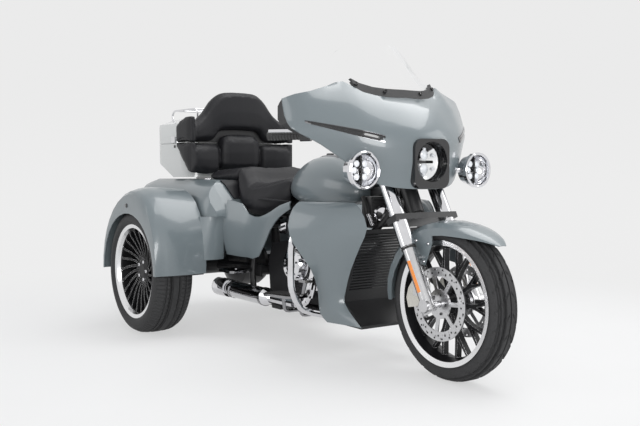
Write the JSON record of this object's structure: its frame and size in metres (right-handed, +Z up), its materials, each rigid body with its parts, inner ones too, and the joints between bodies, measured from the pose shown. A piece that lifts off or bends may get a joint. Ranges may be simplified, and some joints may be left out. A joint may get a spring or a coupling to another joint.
{
  "type": "motorized trike",
  "caption": "Touring trike with a steered front wheel, fork-mounted fairing, V-twin engine, two free rear wheels, opening top case and rear trunk.",
  "frame": {"origin": "centre of the bounding box, on the floor under the wheels", "axes": "+X forward, +Y to the rider's left, +Z up"},
  "size_m": [2.644, 1.4042, 1.432],
  "materials": {
    "paint": "gloss light blue-grey",
    "frame_black": "satin black",
    "engine_black": "wrinkle black",
    "chrome": "polished",
    "alloy": "brushed",
    "wheel_black": "gloss black with machined lips",
    "tyre": "matt",
    "leather": "matt black vinyl",
    "plastic": "matt black",
    "lens": "clear",
    "screen": "clear",
    "red_lens": "gloss red"
  },
  "bodies": {
    "chassis": {"frame": "frame_black", "engine": "engine_black", "engine_covers": "chrome", "air_cleaner": "engine_black", "exhausts": "chrome", "rear_axle": "frame_black", "fuel_tank": "paint", "tank_console": "chrome", "rider_seat": "leather", "passenger_seat": "leather", "rear_body": "paint", "rear_fenders": "paint", "fender_liners": "plastic", "tail_lamps": "red_lens", "rear_bumper": "chrome", "top_case_base": "paint", "backrest_pads": "leather", "leg_shields": "paint", "radiator_panel": "plastic", "foot_boards": "chrome", "engine_guard": "chrome"},
    "steering": {"yokes": "frame_black", "fork_covers": "chrome", "fork_legs": "alloy", "handlebar": "frame_black", "hand_levers": "chrome", "outer_fairing": "paint", "inner_fairing": "plastic", "windscreen": "screen", "headlight": "plastic", "lamp_lenses": "lens", "aux_lamps": "chrome", "front_fender": "paint", "front_calipers": "alloy"},
    "front_wheel": {"front_tyre": "tyre", "front_wheel": "wheel_black", "front_rotors": "alloy"},
    "right_wheel": {"right_tyre": "tyre", "right_wheel": "wheel_black"},
    "left_wheel": {"left_tyre": "tyre", "left_wheel": "wheel_black"},
    "top_case_lid": {"top_case_lid": "paint", "lid_pads": "leather", "luggage_rack": "chrome"},
    "trunk_door": {"trunk_door": "paint"}
  },
  "joints": [
    {"name": "steer", "type": "hinge", "parent": "chassis", "child": "steering", "pos_m": [0.73635, 0, 0.762], "axis": [-0.4384, 0, 0.8988], "range_deg": [-30, 30]},
    {"name": "front_wheel_spin", "type": "hinge", "parent": "steering", "child": "front_wheel", "pos_m": [1.003, 0, 0.319], "axis": [0, 1, 0], "continuous": true},
    {"name": "right_wheel_spin", "type": "hinge", "parent": "chassis", "child": "right_wheel", "pos_m": [-0.667, -0.583, 0.325], "axis": [0, 1, 0], "continuous": true},
    {"name": "left_wheel_spin", "type": "hinge", "parent": "chassis", "child": "left_wheel", "pos_m": [-0.667, 0.583, 0.325], "axis": [0, 1, 0], "continuous": true},
    {"name": "top_case_hinge", "type": "hinge", "parent": "chassis", "child": "top_case_lid", "pos_m": [-1.236, 0, 1.002], "axis": [0, -1, 0], "range_deg": [0, 75]},
    {"name": "trunk_hinge", "type": "hinge", "parent": "chassis", "child": "trunk_door", "pos_m": [-1.259, 0, 0.7445], "axis": [0, 1, 0], "range_deg": [0, 85]}
  ]
}
